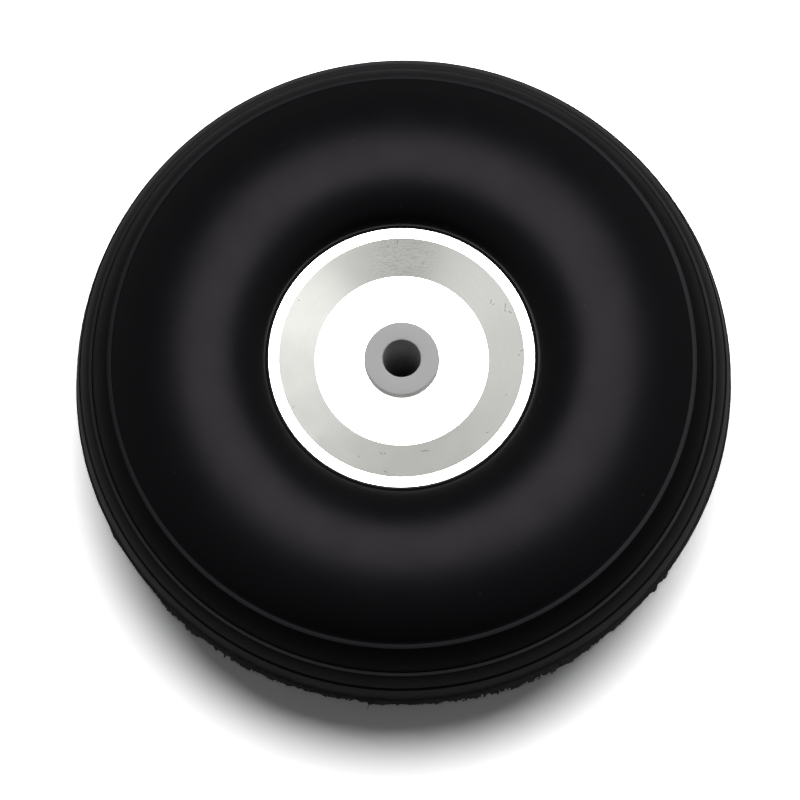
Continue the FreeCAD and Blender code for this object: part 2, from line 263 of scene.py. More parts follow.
def arc(start, end, radius, steps):
    """Points along a circle of the given radius from start up to, and without, end.
    The centre is the chord's middle plus a vector across it, sqrt(radius^2 - half chord^2) long,
    to the left of the way for a positive radius. The points are start turned about it evenly."""
    start = np.array(start, float)
    end = np.array(end, float)
    half = (end - start) / 2
    across = np.array([-half[1], half[0]]) / np.hypot(*half)
    reach = np.sqrt(radius ** 2 - half @ half) * np.sign(radius)
    centre = start + half + across * reach
    sweep = 2 * np.arcsin(np.hypot(*half) / abs(radius)) * np.sign(radius)
    angle = np.arange(steps) / steps * sweep
    arm = start - centre
    x = arm[0] * np.cos(angle) - arm[1] * np.sin(angle)
    y = arm[0] * np.sin(angle) + arm[1] * np.cos(angle)
    return centre + np.stack([x, y], axis=1)


def rounded(corners):
    """A closed outline of (radius, height, fillet) corners with every corner rounded by its fillet.
    The fillet leaves each side at fillet / tan(half the corner's angle) from the corner, and its
    points are that start turned evenly about a centre on the bisector, fillet / sin(half angle)
    from the corner."""
    corners = np.array(corners, float)
    point = corners[:, :2]
    fillet = np.maximum(corners[:, 2:], 1e-9)
    back = np.roll(point, 1, axis=0) - point
    ahead = np.roll(point, -1, axis=0) - point
    back /= np.linalg.norm(back, axis=1, keepdims=True)
    ahead /= np.linalg.norm(ahead, axis=1, keepdims=True)
    half = np.arccos(np.clip((back * ahead).sum(axis=1, keepdims=True), -1, 1)) / 2
    bisector = back + ahead
    bisector /= np.linalg.norm(bisector, axis=1, keepdims=True)
    centre = point + bisector * fillet / np.sin(half)
    arm = point + back * fillet / np.tan(half) - centre
    side = np.sign(back[:, :1] * ahead[:, 1:] - back[:, 1:] * ahead[:, :1])
    angle = side * (2 * half - np.pi) * np.linspace(0, 1, FILLET_STEPS + 1)
    x = centre[:, :1] + arm[:, :1] * np.cos(angle) - arm[:, 1:] * np.sin(angle)
    y = centre[:, 1:] + arm[:, :1] * np.sin(angle) + arm[:, 1:] * np.cos(angle)
    return np.stack([x, y], axis=2).reshape(-1, 2)


def revolve(outline, segments=SEGMENTS):
    """A surface of revolution: (radius cos angle, radius sin angle, height) over the outline's
    points and evenly spaced angles, as a grid of rows of points."""
    angle = np.arange(segments + 1) * 2 * np.pi / segments
    radius = outline[:, :1]
    height = np.broadcast_to(outline[:, 1:], (len(outline), segments + 1))
    return np.stack([radius * np.cos(angle), radius * np.sin(angle), height], axis=2)


def closed(outline):
    """The outline with its first point again at its end."""
    return np.concatenate([outline, outline[:1]])


def level(loop, height):
    """A loop of (x, y) points lifted to a height."""
    return np.concatenate([loop, np.full((*loop.shape[:-1], 1), height)], axis=-1)


def between(first, last, steps=1):
    """A ruled surface: first + (last - first) * share, for shares from 0 to 1, with the shares
    as the grid's rows."""
    share = np.linspace(0, 1, steps + 1)[:, None, None]
    return first + (last - first) * share


def sector_loops(inner, outer, circle, hole):
    """The outline of each hub screw's sector of a ring, and the hole in it.
    The outline runs along the outer arc, in along a radius, back along the inner arc and out
    again. Each of the hole's points is its centre plus its radius towards an outline point."""
    count = len(SCREWS)
    half = np.pi / count
    sweep = np.linspace(-half, half, SEGMENTS // count + 1)
    side = np.linspace(0, 1, 9)[1:-1]
    radius = np.concatenate([
        np.full(len(sweep), outer), outer + (inner - outer) * side,
        np.full(len(sweep), inner), inner + (outer - inner) * side])
    angle = np.concatenate([
        sweep, np.full(len(side), half), sweep[::-1], np.full(len(side), -half)])
    outline = closed(np.stack([radius * np.cos(angle), radius * np.sin(angle)], axis=1))
    centre = np.array([circle, 0.0])
    away = outline - centre
    ring = centre + away / np.linalg.norm(away, axis=1, keepdims=True) * hole
    turn = np.arange(count) * 2 * half
    spin = np.stack([np.cos(turn), np.sin(turn), -np.sin(turn), np.cos(turn)], axis=1)
    spin = spin.reshape(-1, 2, 2)
    return outline @ spin, ring @ spin


def shrunk(loops, circle, hole, new_hole):
    """Each hole's loop moved in to a smaller radius about its own centre."""
    count = len(SCREWS)
    turn = np.arange(count) * 2 * np.pi / count
    centre = circle * np.stack([np.cos(turn), np.sin(turn)], axis=1)[:, None, :]
    return centre + (loops - centre) * new_hole / hole


def piece(name, grids, material, nodes, sharp=35):
    """One closed mesh from grids of points: each grid's quads, welded where grids meet, with
    its faces turned outwards and its edges sharp above an angle in degrees."""
    points = []
    faces = []
    total = 0
    for grid in grids:
        rows, columns = grid.shape[:2]
        index = np.arange(rows * columns).reshape(rows, columns) + total
        quads = np.stack([index[:-1, :-1], index[1:, :-1], index[1:, 1:], index[:-1, 1:]], axis=-1)
        points.append(grid.reshape(-1, 3))
        faces.append(quads.reshape(-1, 4))
        total += rows * columns
    mesh = bpy.data.meshes.new(name)
    mesh.from_pydata(np.concatenate(points) * MM, [], np.concatenate(faces))
    work = bmesh.new()
    work.from_mesh(mesh)
    bmesh.ops.remove_doubles(work, verts=work.verts, dist=1e-7)
    bmesh.ops.recalc_face_normals(work, faces=work.faces)
    work.to_mesh(mesh)
    work.free()
    mesh.polygons.foreach_set("use_smooth", np.ones(len(mesh.polygons), bool))
    mesh.set_sharp_from_angle(angle=np.radians(sharp))
    mesh.materials.append(material)
    made = bpy.data.objects.new(name, mesh)
    bpy.context.collection.objects.link(made)
    weighted = made.modifiers.new("Face weights", "WEIGHTED_NORMAL")
    weighted.keep_sharp = True
    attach(made, BODY)
    if nodes:
        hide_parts(*nodes)
    return made


def tyre_outline(tyre):
    """The tyre's closed section, outboard half then its mirror image: seat on the barrel and
    under the flange, lip, inner and outer sidewall, ledge, three tread bands and a groove.
    Each curve is an arc of its own radius. The ledge and the step are straight, with their corners
    eased by points a few hundredths of a millimetre in from each end."""
    hub = bpy.context.scene.wheel_hub
    barrel = hub.barrel_radius / MM
    under = (hub.rim_face - hub.flange_thickness) / MM
    edge = hub.flange_radius / MM
    fillet = hub.barrel_fillet / MM
    lip_round = tyre.lip_round / MM
    lip = np.array((edge + lip_round, tyre.lip_height / MM))
    crest = (tyre.crest_radius / MM, tyre.half_width / MM)
    inner = tyre.inner_radius / MM
    wall = tyre.sidewall_radius / MM
    curl = tyre.curl_radius / MM
    curl = np.array((curl, crest[1] - inner + np.sqrt(inner ** 2 - (crest[0] - curl) ** 2)))
    centre = np.array((crest[0], crest[1] - inner))
    curl_curve = inner * ((lip - curl) @ (lip - curl)) / (2 * (lip - curl) @ (centre - curl))
    foot = tyre.ledge_radius / MM - tyre.ledge_width / MM
    foot_height = crest[1] - wall + np.sqrt(wall ** 2 - (foot - crest[0]) ** 2)
    ledge = (tyre.ledge_radius / MM, foot_height - tyre.ledge_drop / MM)
    band = tyre.band_curve / MM
    step = (tyre.step_radius / MM, tyre.step_height / MM)
    step_foot = (step[0] - tyre.step_width / MM, step[1] + tyre.step_drop / MM)
    groove = tyre.groove_radius / MM
    groove_high = (tyre.groove_height + tyre.groove_width / 2) / MM
    groove_low = (tyre.groove_height - tyre.groove_width / 2) / MM
    outer = groove - tyre.groove_drop / MM
    bottom = (groove - tyre.groove_depth / MM, groove_high - tyre.groove_undercut / MM)
    tread = tyre.tread_radius / MM
    crown = tyre.crown_radius / MM
    shoulder = tyre.shoulder_curve / MM
    upper = np.concatenate([
        [(barrel, 0), (barrel, under - fillet)],
        arc((barrel, under - fillet), (barrel + fillet, under), -fillet, 6),
        [(barrel + fillet, under), (edge, under)],
        arc((edge, lip[1] - lip_round), lip, -lip_round, 5),
        arc(lip, curl, -curl_curve, 12),
        arc(curl, crest, -inner, 12),
        arc(crest, (foot, foot_height), -wall, 32),
        [(foot, foot_height), (foot + 0.08, foot_height - 0.008)],
        [(ledge[0] - 0.06, ledge[1] + 0.012)],
        arc(ledge, step_foot, -band, 10),
        [step_foot, (step_foot[0] + 0.06, step_foot[1] - 0.008), (step[0] - 0.06, step[1] + 0.008)],
        arc(step, (outer, groove_high), -shoulder, 10),
        [(outer, groove_high), bottom],
        arc((groove, groove_low), (tread, 0), -crown, 10),
        [(tread, 0)],
    ])
    lower = upper[-2:0:-1] * (1, -1)
    return np.concatenate([upper, lower])


# ---------------------------------------------------------------- materials

def add(tree, kind, settings=None, **links):
    """Add a shader node, set its own properties from settings and its inputs from links: a
    socket to link or a plain value, with an input named by its label or its number after an i."""
    node = tree.nodes.new("ShaderNode" + kind)
    for key, value in (settings or {}).items():
        setattr(node, key, value)
    for key, value in links.items():
        label = int(key[1:]) if key[1:].isdigit() else key.replace("_", " ")
        socket = node.inputs[label]
        if isinstance(value, bpy.types.NodeSocket):
            tree.links.new(value, socket)
        else:
            socket.default_value = value
    return node


def material(name):
    """A new material, its empty tree and a linked Principled shader."""
    made = bpy.data.materials.new(name)
    made.use_nodes = True
    tree = made.node_tree
    tree.nodes.clear()
    shader = add(tree, "BsdfPrincipled")
    add(tree, "OutputMaterial", Surface=shader.outputs[0])
    return made, tree, shader


def skinned_polyurethane(tyre):
    """Foamed polyurethane rubber, its skin formed against a polished mould.
    The eye sees a deep satin black with a broad soft sheen, a few fine pits and specks, and
    the outer tread coloured a lighter dark grey, but for its grooves, which keep the black as
    painted shade.
    Mould grain is 0.45 mm across, rubbed patches 5 mm, pits 1.6 mm apart and dust 2.5 mm.
    Its IOR would be 1.5. The lower one keeps its black as deep in a bright room."""
    made, tree, shader = material("Skinned polyurethane")
    shader.inputs["IOR"].default_value = 1.165
    shader.inputs["Specular Tint"].default_value = linear("#fff7ff")
    place = add(tree, "TexCoord").outputs["Object"]
    grain = add(tree, "TexNoise", Vector=place, Scale=1 / (0.45 * MM), Detail=3.0)
    patch = add(tree, "TexNoise", Vector=place, Scale=1 / (5 * MM), Detail=3.0)
    rough = add(tree, "MapRange", i0=patch.outputs[0], i1=0.3, i2=0.7, i3=0.33, i4=0.38)
    tree.links.new(rough.outputs[0], shader.inputs["Roughness"])
    pits = add(tree, "TexVoronoi", Vector=place, Scale=1 / (1.6 * MM))
    hollow = add(tree, "MapRange", i0=pits.outputs["Distance"], i1=0.02, i2=0.07)
    skin = add(tree, "Math", {"operation": "MULTIPLY"}, i0=grain.outputs[0], i1=0.2)
    height = add(tree, "Math", {"operation": "ADD"}, i0=skin.outputs[0], i1=hollow.outputs[0])
    bump = add(tree, "Bump", Strength=0.3, Distance=0.02 * MM, Height=height.outputs[0])
    tree.links.new(bump.outputs[0], shader.inputs["Normal"])
    dust = add(tree, "TexVoronoi", Vector=place, Scale=1 / (2.5 * MM))
    grey = add(tree, "MapRange", i0=dust.outputs["Distance"],
               i1=0.03, i2=0.045, i3=0.04, i4=0.0)
    flat = add(tree, "VectorMath", {"operation": "MULTIPLY"}, i0=place, i1=(1, 1, 0))
    radius = add(tree, "VectorMath", {"operation": "LENGTH"}, i0=flat.outputs[0])
    # The outer tread is coloured a lighter grey. Its grooves are masked out and keep the black, as
    # painted shade.
    grey_tread_and_groove_shade = add(tree, "MapRange", i0=radius.outputs["Value"], i1=42.2 * MM, i2=43.8 * MM)
    side = add(tree, "SeparateXYZ", Vector=place)
    side = add(tree, "Math", {"operation": "ABSOLUTE"}, i0=side.outputs["Z"])
    side = add(tree, "Math", {"operation": "SUBTRACT"}, i0=side.outputs[0], i1=tyre.groove_height)
    side = add(tree, "Math", {"operation": "ABSOLUTE"}, i0=side.outputs[0])
    # Painted shade: within each groove the tread keeps the black skin colour in place of the shade
    # there.
    groove = add(tree, "MapRange", i0=side.outputs[0], i1=0.2 * MM, i2=0.35 * MM)
    grey_tread_and_groove_shade = add(tree, "Math", {"operation": "MULTIPLY"},
               i0=grey_tread_and_groove_shade.outputs[0], i1=groove.outputs[0])
    skin = add(tree, "Mix", {"data_type": "RGBA"},
               i0=grey_tread_and_groove_shade.outputs[0], i6=tyre.colour, i7=linear("#333234"))
    tint = add(tree, "Mix", {"data_type": "RGBA"}, i0=grey.outputs[0], i6=skin.outputs[2],
               i7=linear("#c8c8d0"))
    tree.links.new(tint.outputs[2], shader.inputs["Base Color"])
    return made


def torn_polyurethane(colour):
    """The same rubber where it was torn off at the mould's parting line.
    With its skin gone the eye sees a dull, crumbly black, with torn cells 0.15 mm across."""
    made, tree, shader = material("Torn polyurethane")
    shader.inputs["Base Color"].default_value = colour
    shader.inputs["IOR"].default_value = 1.2
    shader.inputs["Roughness"].default_value = 0.8
    place = add(tree, "TexCoord").outputs["Object"]
    grain = add(tree, "TexNoise", Vector=place, Scale=1 / (0.15 * MM), Detail=3.0)
    bump = add(tree, "Bump", Strength=0.6, Distance=0.05 * MM, Height=grain.outputs[0])
    tree.links.new(bump.outputs[0], shader.inputs["Normal"])
    return made


def tick(tree, place, mark):
    """How near a point is to a hairline mark, as 1 on it and 0 off it: one less the larger of its
    distances along and across the mark, as shares of half its length and of its width. A real
    scratch is finer, and it is drawn 0.06 mm wide so that it shows."""
    angle, radius, slant, size = mark
    angle = np.radians(angle)
    slant = angle + np.radians(slant)
    centre = (radius * MM * np.cos(angle), radius * MM * np.sin(angle), 0.0)
    along = (np.cos(slant) / (size * MM / 2), np.sin(slant) / (size * MM / 2), 0.0)
    width = 0.06 * MM
    across = (-np.sin(slant) / width, np.cos(slant) / width, 0.0)
    arm = add(tree, "VectorMath", {"operation": "SUBTRACT"}, i0=place, i1=centre)
    u = add(tree, "VectorMath", {"operation": "DOT_PRODUCT"}, i0=arm.outputs[0], i1=along)
    v = add(tree, "VectorMath", {"operation": "DOT_PRODUCT"}, i0=arm.outputs[0], i1=across)
    u = add(tree, "Math", {"operation": "ABSOLUTE"}, i0=u.outputs["Value"])
    v = add(tree, "Math", {"operation": "ABSOLUTE"}, i0=v.outputs["Value"])
    far = add(tree, "Math", {"operation": "MAXIMUM"}, i0=u.outputs[0], i1=v.outputs[0])
    near = add(tree, "MapRange", i0=far.outputs[0], i1=0.6, i2=1.2, i3=1.0, i4=0.0)
    return near.outputs[0]


def turned_aluminium(colour, marks=()):
    """Bright aluminium, diamond turned: a clean metal mirror, softened across the tool's path
    by fine concentric marks, with a few rubbed streaks and hairline scratches.
    The tool's marks are finer than 0.05 mm, and are drawn 0.1 to 0.16 mm apart so that they show.
    Rubbed patches are 3 mm across, and scuffs 0.2 mm."""
    made, tree, shader = material("Turned aluminium")
    shader.inputs["Metallic"].default_value = 1.0
    shader.inputs["Anisotropic"].default_value = 0.5
    place = add(tree, "TexCoord").outputs["Object"]
    flat = add(tree, "VectorMath", {"operation": "MULTIPLY"}, i0=place, i1=(1, 1, 0))
    spoke = add(tree, "VectorMath", {"operation": "NORMALIZE"}, i0=flat.outputs[0])
    radius = add(tree, "VectorMath", {"operation": "LENGTH"}, i0=flat.outputs[0])
    round_way = add(tree, "VectorMath", {"operation": "CROSS_PRODUCT"},
                    i0=(0, 0, 1), i1=spoke.outputs[0])
    tree.links.new(round_way.outputs[0], shader.inputs["Tangent"])
    lines = add(tree, "TexNoise", {"noise_dimensions": "1D"}, W=radius.outputs["Value"],
                Scale=1 / (0.1 * MM), Detail=2.0)
    rings = add(tree, "VectorMath", {"operation": "SCALE"}, i0=spoke.outputs[0], Scale=6.0)
    deep = add(tree, "Math", {"operation": "MULTIPLY"},
               i0=radius.outputs["Value"], i1=1 / (0.16 * MM))
    lift = add(tree, "CombineXYZ", Z=deep.outputs[0])
    polar = add(tree, "VectorMath", {"operation": "ADD"}, i0=rings.outputs[0], i1=lift.outputs[0])
    streak = add(tree, "TexNoise", Vector=polar.outputs[0], Scale=1.0, Detail=4.0, Roughness=0.6)
    wear = add(tree, "TexNoise", Vector=place, Scale=1 / (3 * MM), Detail=3.0)
    rubbed = add(tree, "Math", {"operation": "MULTIPLY"}, i0=streak.outputs[0], i1=wear.outputs[0])
    rough = add(tree, "MapRange", i0=rubbed.outputs[0], i1=0.15, i2=0.4, i3=0.17, i4=0.24)
    tree.links.new(rough.outputs[0], shader.inputs["Roughness"])
    cuts = add(tree, "Math", {"operation": "MULTIPLY_ADD"},
               i0=streak.outputs[0], i1=0.8, i2=lines.outputs[0])
    bump = add(tree, "Bump", Strength=0.25, Distance=0.002 * MM, Height=cuts.outputs[0])
    tree.links.new(bump.outputs[0], shader.inputs["Normal"])
    dark = None
    for mark in marks:
        one = tick(tree, place, mark)
        if dark is None:
            dark = one
        else:
            dark = add(tree, "Math", {"operation": "MAXIMUM"}, i0=dark, i1=one).outputs[0]
    drawn = add(tree, "VectorMath", {"operation": "MULTIPLY"}, i0=place, i1=(0.3, 1.0, 1.0))
    scuff = add(tree, "TexNoise", Vector=drawn.outputs[0], Scale=1 / (0.2 * MM),
                Detail=4.0, Roughness=0.7)
    scuff = add(tree, "MapRange", i0=scuff.outputs[0], i1=0.46, i2=0.7, i3=0.0, i4=0.4)
    spot = add(tree, "VectorMath", {"operation": "DISTANCE"},
               i0=place, i1=(0.2 * MM, 14.4 * MM, 11 * MM))
    spot = add(tree, "MapRange", i0=spot.outputs["Value"],
               i1=2.5 * MM, i2=6 * MM, i3=1.0, i4=0.06)
    scuff = add(tree, "Math", {"operation": "MULTIPLY"}, i0=scuff.outputs[0], i1=spot.outputs[0])
    film = add(tree, "MapRange", i0=streak.outputs[0], i1=0.3, i2=0.8, i3=0.0, i4=0.06)
    film = add(tree, "Math", {"operation": "MAXIMUM"}, i0=scuff.outputs[0], i1=film.outputs[0])
    film = add(tree, "Mix", {"data_type": "RGBA"},
               i0=film.outputs[0], i6=colour, i7=linear("#70767a"))
    base = film.outputs[2]
    if dark is not None:
        share = add(tree, "Math", {"operation": "MULTIPLY"}, i0=dark, i1=0.5)
        scored = add(tree, "Mix", {"data_type": "RGBA"},
                     i0=share.outputs[0], i6=base, i7=linear("#303436"))
        base = scored.outputs[2]
    tree.links.new(base, shader.inputs["Base Color"])
    return made


def moulded_nylon(colour):
    """Grey nylon as moulded: an even matt surface with a very fine grain, drawn 0.3 mm across so
    that it shows. Its IOR would be 1.53, and the lower one keeps its grey even in a bright room."""
    made, tree, shader = material("Moulded nylon")
    shader.inputs["Base Color"].default_value = colour
    shader.inputs["Roughness"].default_value = 0.55
    shader.inputs["IOR"].default_value = 1.17
    place = add(tree, "TexCoord").outputs["Object"]
    grain = add(tree, "TexNoise", Vector=place, Scale=1 / (0.3 * MM), Detail=3.0)
    bump = add(tree, "Bump", Strength=0.2, Distance=0.01 * MM, Height=grain.outputs[0])
    tree.links.new(bump.outputs[0], shader.inputs["Normal"])
    return made


def plain_stainless(colour):
    """Stainless steel, cold headed: a duller metal with a faint grain 0.2 mm across."""
    made, tree, shader = material("Cold headed stainless steel")
    shader.inputs["Base Color"].default_value = colour
    shader.inputs["Metallic"].default_value = 1.0
    shader.inputs["Roughness"].default_value = 0.32
    place = add(tree, "TexCoord").outputs["Object"]
    grain = add(tree, "TexNoise", Vector=place, Scale=1 / (0.2 * MM), Detail=3.0)
    bump = add(tree, "Bump", Strength=0.2, Distance=0.01 * MM, Height=grain.outputs[0])
    tree.links.new(bump.outputs[0], shader.inputs["Normal"])
    return made


# ---------------------------------------------------------------- operators

class WHEEL_OT_tyre(bpy.types.Operator):
    """Make the tyre"""
    bl_idname = "wheel.tyre"
    bl_label = "Tyre"

    def execute(self, context):
        tyre = context.scene.wheel_tyre
        rubber = skinned_polyurethane(tyre)
        piece("tyre_moulding", [revolve(closed(tyre_outline(tyre)))], rubber, ["tyre"])
        return {"FINISHED"}


def round_noise(random, knots, angle):
    """Noise round the wheel: random values from -1 to 1 at evenly spaced knots, joined by lines."""
    values = random.uniform(-1, 1, knots)
    return np.interp(angle, np.linspace(0, 2 * np.pi, knots + 1), np.append(values, values[0]))


def flash_height(random, angle):
    """Height of the torn edge: the height read along FLASH, times one plus noise of three sizes
    that fades where the flash was trimmed clean."""
    degrees, heights = np.array(FLASH).T
    height = np.interp(np.degrees(angle) % 360, degrees, heights)
    ragged = 0.12 * round_noise(random, 240, angle) + 0.16 * round_noise(random, 1100, angle)
    ragged = ragged + 0.16 * round_noise(random, 2600, angle)
    return height * (1 + ragged * np.clip((height - TRIMMED) * 4, 0.1, 1.2))


class WHEEL_OT_flash(bpy.types.Operator):
    """Make the torn flash along the tyre's mould line"""
    bl_idname = "wheel.flash"
    bl_label = "Mould flash"

    def execute(self, context):
        flash = context.scene.wheel_flash
        rubber = torn_polyurethane(flash.colour)
        tread = context.scene.wheel_tyre.tread_radius / MM
        piece("mould_flash", [flash_fin(flash, tread)], rubber, [], sharp=60)
        crumbs = flash_crumbs(flash, tread) + [whisker(flash, tread)]
        piece("flash_crumbs", crumbs, rubber, [], sharp=60)
        return {"FINISHED"}


def flash_fin(flash, tread):
    """Grid of the fin: at each angle a closed wedge section from its root, sunk a little in the
    tread, out to a thin torn edge that wanders up and down."""
    random = np.random.default_rng(7)
    angle = np.linspace(0, 2 * np.pi, FLASH_SEGMENTS + 1)
    angle[-1] = 0
    height = flash_height(random, angle)
    wander = 0.25 * round_noise(random, 300, angle) + 0.15 * round_noise(random, 2000, angle)
    middle = wander * height
    half_tip = flash.tip / MM / 2 * (1 + 0.5 * round_noise(random, 2600, angle))
    half_root = flash.root / MM / 2 + 0 * angle
    foot = tread - flash.sunk / MM + 0 * angle
    collar = tread + 0.05 + 0.1 * height
    half_collar = half_root * 0.9
    half_waist = (half_root + half_tip) / 2 * (1 + 0.3 * round_noise(random, 1800, angle))
    outline = [
        (foot, half_root),
        (collar, half_collar),
        (tread + 0.5 * height, half_waist + middle / 2),
        (tread + height - half_tip, half_tip + middle),
        (tread + height, middle),
        (tread + height - half_tip, -half_tip + middle),
        (tread + 0.5 * height, -half_waist + middle / 2),
        (collar, -half_collar),
        (foot, -half_root),
    ]
    radius, lift = np.array(outline + outline[:1]).transpose(1, 0, 2)
    return np.stack([radius * np.cos(angle), radius * np.sin(angle), lift], axis=2)


def whisker(flash, tread):
    """Grid of one loose hair of rubber: a tube that thins at both ends, along 75 degrees of a
    circle 1 mm in radius. Each point is the path's point plus the tube's radius times a circle
    across it."""
    turn = np.linspace(0, 2 * np.pi, 9)
    turn[-1] = 0
    along = np.linspace(0, 1, 13)[:, None]
    bend = np.radians(120 + 75 * along)
    start = flash.hair_place
    across = np.concatenate([np.cos(bend), np.sin(bend), 0 * bend], axis=1)
    path = across - across[0] + (tread + 0.5) * np.array((np.cos(start), np.sin(start), 0))
    thick = flash.hair / MM * np.sqrt(np.clip(4 * (along + 0.02) * (1 - along), 0, 1))
    ring = across[:, None] * np.cos(turn)[:, None] + np.array((0, 0, 1)) * np.sin(turn)[:, None]
    return path[:, None] + thick[:, None] * ring


def flash_crumbs(flash, tread):
    """Grids of the crumbs, each a small sphere squeezed by noise, most of them where the flash is
    highest. A crumb's point is its centre plus its size times a unit sphere's point."""
    random = np.random.default_rng(11)
    count = flash.crumbs
    degrees, heights = np.array(FLASH).T
    choice = np.arange(0, 360, 0.25)
    weight = np.clip(np.interp(choice, degrees, heights) - TRIMMED, 0, None) ** 2
    angle = random.choice(choice, count, p=weight / weight.sum())
    angle = np.radians(angle + random.uniform(0, 0.25, count))
    height = np.interp(np.degrees(angle), degrees, heights) * random.uniform(0.7, 1.1, count)
    size = flash.crumb / MM * random.uniform(0.25, 1, count) ** 2
    centre = np.stack([
        (tread + height) * np.cos(angle), (tread + height) * np.sin(angle),
        random.uniform(-0.15, 0.15, count)], axis=1)
    polar = np.linspace(0, np.pi, 6)[:, None]
    turn = np.linspace(0, 2 * np.pi, 8)
    turn[-1] = 0
    sphere = np.stack([
        np.sin(polar) * np.cos(turn), np.sin(polar) * np.sin(turn),
        np.cos(polar) + 0 * turn], axis=2)
    dent = random.uniform(0.6, 1.25, (count, 6, 8, 1))
    dent[:, :, -1] = dent[:, :, 0]
    dent[:, 0] = dent[:, -1] = 1
    stretch = random.uniform(0.6, 1.3, (count, 1, 1, 3))
    return list(centre[:, None, None] + size[:, None, None, None] * sphere * dent * stretch)


class WHEEL_OT_hub(bpy.types.Operator):
    """Make the two hub halves"""
    bl_idname = "wheel.hub"
    bl_label = "Hub"

    def execute(self, context):
        hub = context.scene.wheel_hub
        marked = turned_aluminium(hub.colour, MARKS)
        piece("hub_outboard_half", outer_half(hub), marked, ["hub_outer"])
        turned = [grid * (1, -1, -1) for grid in inner_half(hub)]
        piece("hub_inboard_half", turned, turned_aluminium(hub.colour), ["hub_inner"])
        return {"FINISHED"}


def dish_corners(hub):
    """The corners that both halves share, from the dish floor's edge out round the rim and in
    along the barrel to the joint face."""
    face = hub.rim_face / MM
    floor = face - hub.dish_depth / MM
    under = face - hub.flange_thickness / MM
    edge = hub.flange_radius / MM
    chamfer = hub.rim_chamfer / MM
    barrel = hub.barrel_radius / MM
    return [
        (hub.dish_radius / MM, floor, 0.05),
        (hub.cone_radius / MM, face, 0.04),
        (edge - chamfer, face, 0.04),
        (edge, face - chamfer, 0.04),
        (edge, under, 0.05),
        (barrel, under, hub.barrel_fillet / MM),
        (barrel, 0, 0.05),
    ]


def outer_half(hub):
    """Grids of the outboard half: its turning down to the spigot's face, that face with the
    tapped holes, and the holes' walls and ends."""
    seat = bpy.context.scene.wheel_bush.body_radius / MM
    floor = (hub.rim_face - hub.dish_depth) / MM
    spigot = hub.register_radius / MM
    foot = -hub.register_height / MM
    end = hub.tapped_end / MM
    circle = hub.screw_circle / MM
    hole = hub.tapped_radius / MM
    turning = rounded(dish_corners(hub) + [(spigot, 0, 0), (spigot, foot, 0)])
    turning = np.concatenate([[(seat, foot), (seat, floor)], turning])
    turning[-1] = (spigot, foot)
    outline, ring = sector_loops(seat, spigot, circle, hole)
    point = shrunk(ring, circle, hole, 0)
    grids = [revolve(turning)]
    for sector, mouth, centre in zip(outline, ring, point):
        grids.append(between(level(sector, foot), level(mouth, foot), 3))
        grids.append(between(level(mouth, foot), level(mouth, end)))
        grids.append(between(level(mouth, end), level(centre, end)))
    return grids


def inner_half(hub):
    """Grids of the inboard half, dish upwards: its turning, the dish floor and the register's
    floor with their holes, and the counterbores and clearance holes between them."""
    seat = bpy.context.scene.wheel_bush.body_radius / MM
    floor = (hub.rim_face - hub.dish_depth) / MM
    recess = (hub.register_height + hub.register_clearance) / MM
    register = (hub.register_radius + hub.register_clearance) / MM
    dish = hub.dish_radius / MM
    circle = hub.screw_circle / MM
    wide = hub.counterbore_radius / MM
    narrow = hub.clearance_radius / MM
    shelf = floor - hub.counterbore_depth / MM
    turning = rounded(dish_corners(hub) + [(register, 0, 0), (register, recess, 0)])
    turning = np.concatenate([[(dish, floor)], turning, [(register, recess)]])
    outline, mouth = sector_loops(seat, dish, circle, wide)
    below, hole = sector_loops(seat, register, circle, narrow)
    step = shrunk(mouth, circle, wide, narrow)
    grids = [revolve(turning), revolve(np.array([(seat, recess), (seat, floor)]))]
    for sector, ring, edge, lower, exit_ring in zip(outline, mouth, step, below, hole):
        grids.append(between(level(sector, floor), level(ring, floor), 3))
        grids.append(between(level(ring, floor), level(ring, shelf)))
        grids.append(between(level(ring, shelf), level(edge, shelf)))
        grids.append(between(level(edge, shelf), level(edge, recess)))
        grids.append(between(level(edge, recess), level(exit_ring, recess)))
        grids.append(between(level(exit_ring, recess), level(lower, recess), 3))
    return grids


class WHEEL_OT_bushes(bpy.types.Operator):
    """Make the two flanged bushes"""
    bl_idname = "wheel.bushes"
    bl_label = "Bushes"

    def execute(self, context):
        bush = context.scene.wheel_bush
        nylon = moulded_nylon(bush.colour)
        top = bush.top / MM
        seat = top - bush.flange_thickness / MM
        outline = closed(rounded([
            (bush.bore_radius / MM, 0, 0),
            (bush.body_radius / MM, 0, 0),
            (bush.body_radius / MM, seat, 0.05),
            (bush.flange_radius / MM, seat, 0.08),
            (bush.flange_radius / MM, top, bush.edge / MM),
            (bush.bore_radius / MM, top, bush.mouth / MM),
        ]))
        grid = revolve(outline)
        piece("bush_outboard", [grid], nylon, ["bush_outer"])
        piece("bush_inboard", [grid * (1, -1, -1)], nylon, ["bush_inner"])
        return {"FINISHED"}


class WHEEL_OT_screws(bpy.types.Operator):
    """Make the hub screws"""
    bl_idname = "wheel.screws"
    bl_label = "Hub screws"

    def execute(self, context):
        screw = context.scene.wheel_screw
        steel = plain_stainless(screw.colour)
        grids = screw_grids(screw)
        for node in SCREWS:
            low, high = (np.array(corner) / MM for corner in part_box(node))
            centre = (low + high) / 2
            seat = low[2] + screw.head_height / MM
            placed = [grid * (1, -1, -1) + (centre[0], centre[1], seat) for grid in grids]
            piece(node.replace("hub_screw", "socket_screw"), placed, steel, [node])
        return {"FINISHED"}


